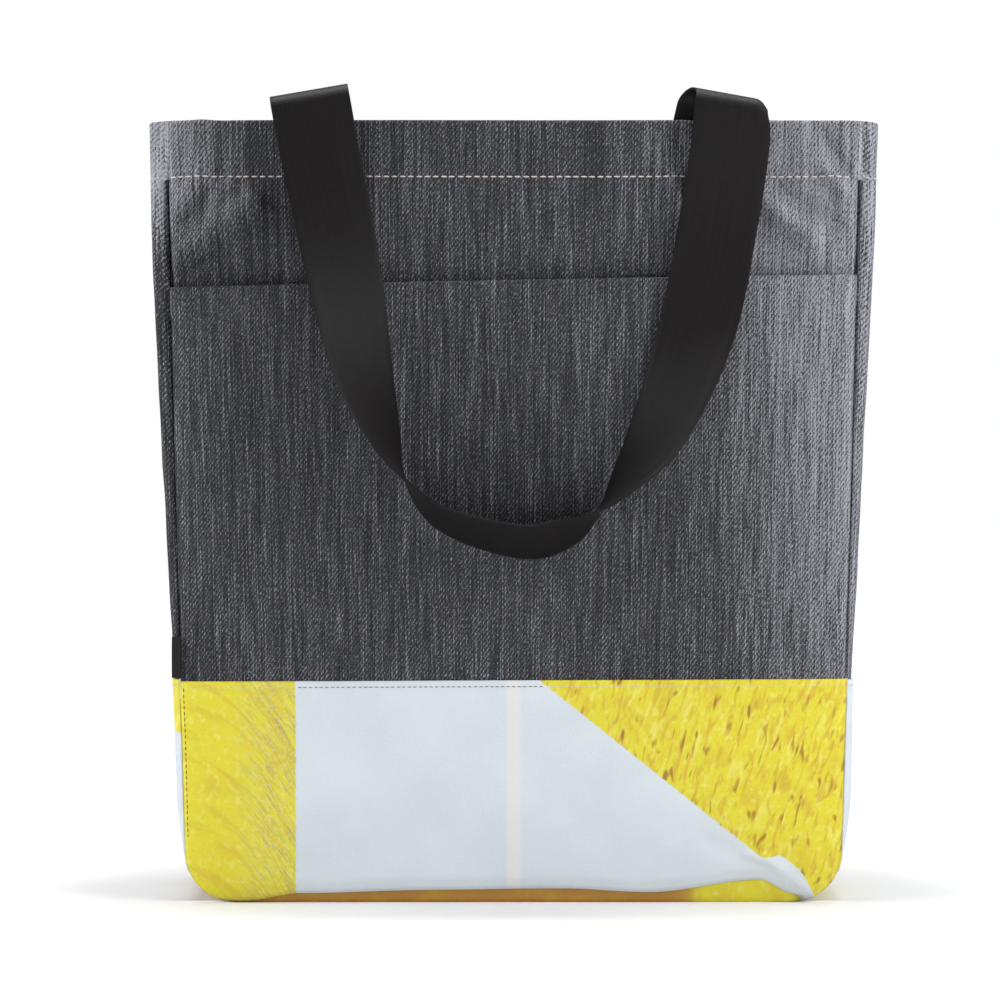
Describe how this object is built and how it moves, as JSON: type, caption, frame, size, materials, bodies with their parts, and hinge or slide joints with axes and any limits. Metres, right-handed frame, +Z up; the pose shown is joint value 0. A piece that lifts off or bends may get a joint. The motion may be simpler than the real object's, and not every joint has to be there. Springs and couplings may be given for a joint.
{
  "type": "foldable tote bag",
  "caption": "Open-topped denim tote bag with a coated cloth base, creased side gussets that fold inwards, a full-width front pocket and webbing loop handles.",
  "frame": {"origin": "on the ground, at the middle of the standing bag's box", "axes": "+X to the right seen from the front, -Y towards the front, +Z up"},
  "size_m": [0.3666, 0.1984, 0.4185],
  "materials": {
    "denim": "charcoal twill, slubby",
    "coated_cloth": "smooth coated cloth, pale blue and yellow blocks",
    "webbing": "black satin webbing",
    "binding_tape": "black woven tape",
    "label_cloth": "black satin ribbon, bare"
  },
  "bodies": {
    "back": {"back_panel": "denim", "back_base_band": "coated_cloth", "bottom_panel": "coated_cloth", "left_rear_seam_binding": "binding_tape", "right_rear_seam_binding": "binding_tape", "back_bottom_seam_binding": "binding_tape", "back_handle_left_end": "webbing", "back_handle_right_end": "webbing", "back_handle_left_bend": "webbing", "back_handle_right_bend": "webbing"},
    "left_gusset_rear": {"left_gusset_rear_panel": "denim", "left_gusset_rear_base": "coated_cloth"},
    "left_gusset_front": {"left_gusset_front_panel": "denim", "left_gusset_front_base": "coated_cloth"},
    "right_gusset_rear": {"right_gusset_rear_panel": "denim", "right_gusset_rear_base": "coated_cloth"},
    "right_gusset_front": {"right_gusset_front_panel": "denim", "right_gusset_front_base": "coated_cloth"},
    "front": {"front_panel": "denim", "front_pocket": "denim", "front_base_band": "coated_cloth", "left_front_seam_binding": "binding_tape", "right_front_seam_binding": "binding_tape", "front_bottom_seam_binding": "binding_tape", "front_handle_left_end": "webbing", "front_handle_right_end": "webbing", "front_handle_left_bend": "webbing", "front_handle_right_bend": "webbing", "side_label": "label_cloth"},
    "front_handle": {"front_handle": "webbing"},
    "back_handle": {"back_handle": "webbing"}
  },
  "joints": [
    {"name": "fold_flat", "type": "hinge", "parent": "back", "child": "left_gusset_rear", "pos_m": [-0.17096, 0.0458, 0.2], "axis": [-0.0262, 0, 0.9997], "range_deg": [0, 94], "deforming": ["bottom_panel"]},
    {"name": "left_crease", "type": "hinge", "parent": "left_gusset_rear", "child": "left_gusset_front", "pos_m": [-0.17817, 0, 0.2], "axis": [-0.0262, 0, 0.9997], "range_deg": [-212, 0]},
    {"name": "left_front_seam", "type": "hinge", "parent": "left_gusset_front", "child": "front", "pos_m": [-0.17096, -0.0458, 0.2], "axis": [-0.0262, 0, 0.9997], "range_deg": [0, 106]},
    {"name": "right_rear_seam", "type": "hinge", "parent": "back", "child": "right_gusset_rear", "pos_m": [0.17096, 0.0458, 0.2], "axis": [0.0262, 0, 0.9997], "range_deg": [-106, 0]},
    {"name": "right_crease", "type": "hinge", "parent": "right_gusset_rear", "child": "right_gusset_front", "pos_m": [0.17817, 0, 0.2], "axis": [0.0262, 0, 0.9997], "range_deg": [0, 212]},
    {"name": "front_handle_swing", "type": "hinge", "parent": "front", "child": "front_handle", "pos_m": [0, -0.0545, 0.414], "axis": [-1, 0, 0], "range_deg": [0, 168], "deforming": ["front_handle_left_bend", "front_handle_right_bend"]},
    {"name": "back_handle_swing", "type": "hinge", "parent": "back", "child": "back_handle", "pos_m": [0, 0.0545, 0.414], "axis": [1, 0, 0], "range_deg": [0, 168], "deforming": ["back_handle_left_bend", "back_handle_right_bend"]}
  ],
  "couplings": [
    {"joint": "left_crease", "follows": "fold_flat", "ratio": -2},
    {"joint": "left_front_seam", "follows": "fold_flat", "ratio": 1},
    {"joint": "right_rear_seam", "follows": "fold_flat", "ratio": -1},
    {"joint": "right_crease", "follows": "fold_flat", "ratio": 2}
  ]
}
